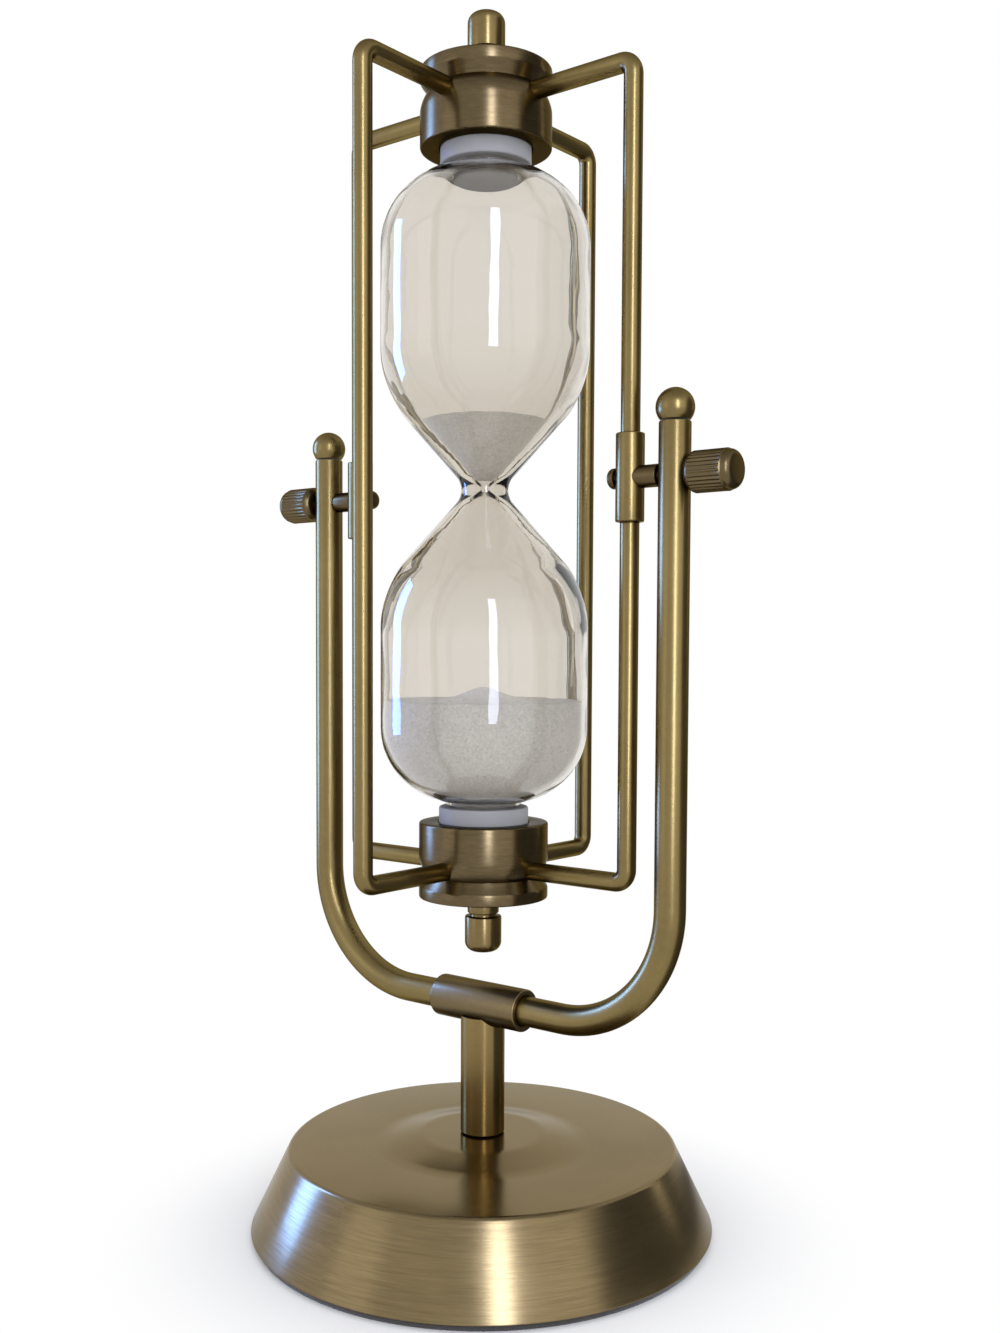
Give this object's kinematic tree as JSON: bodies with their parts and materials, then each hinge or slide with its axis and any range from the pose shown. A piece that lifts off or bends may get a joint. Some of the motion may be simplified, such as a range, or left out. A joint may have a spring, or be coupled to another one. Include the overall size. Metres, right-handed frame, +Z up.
{
  "type": "rotating hourglass",
  "caption": "Rotating hourglass: a sand glass in a rod cage that turns end over end between the arms of a U-shaped yoke on a weighted round base.",
  "frame": {"origin": "centre of the base's underside, on the surface it stands on", "axes": "+Z up the stem, X along the cage's pivot line, -Y to the front"},
  "size_m": [0.1508, 0.1236, 0.3197],
  "materials": {
    "brass": "brushed, antiqued and lacquered",
    "ballast": "rough cast",
    "steel": "plated",
    "felt": "felt",
    "glass": "clear, blown",
    "stopper": "pale translucent",
    "sand": "fine white grain"
  },
  "bodies": {
    "stand": {"felt_pad": "felt", "base_shell": "brass", "base_weight": "ballast", "base_washer": "steel", "base_nut": "steel", "stem_post": "brass", "yoke_sleeve": "brass", "yoke_rod": "brass", "left_ball_finial": "brass", "right_ball_finial": "brass"},
    "cage": {"left_pivot_screw": "brass", "right_pivot_screw": "brass", "left_pivot_spacer": "brass", "right_pivot_spacer": "brass", "left_rod_sleeve": "brass", "right_rod_sleeve": "brass", "left_upper_rod": "brass", "left_lower_rod": "brass", "right_upper_rod": "brass", "right_lower_rod": "brass", "front_rod": "brass", "back_rod": "brass", "top_hub": "brass", "bottom_hub": "brass", "top_finial": "brass", "bottom_finial": "brass", "top_stopper": "stopper", "bottom_stopper": "stopper", "glass_vessel": "glass", "upper_sand": "sand", "lower_sand": "sand"},
    "left_knob": {"left_knob": "brass"},
    "right_knob": {"right_knob": "brass"}
  },
  "joints": [
    {"name": "cage_turn", "type": "hinge", "parent": "stand", "child": "cage", "pos_m": [0, 0, 0.1971], "axis": [1, 0, 0], "continuous": true},
    {"name": "left_knob_turn", "type": "hinge", "parent": "cage", "child": "left_knob", "pos_m": [-0.069, 0, 0.1971], "axis": [1, 0, 0], "continuous": true},
    {"name": "right_knob_turn", "type": "hinge", "parent": "cage", "child": "right_knob", "pos_m": [0.069, 0, 0.1971], "axis": [1, 0, 0], "continuous": true}
  ]
}
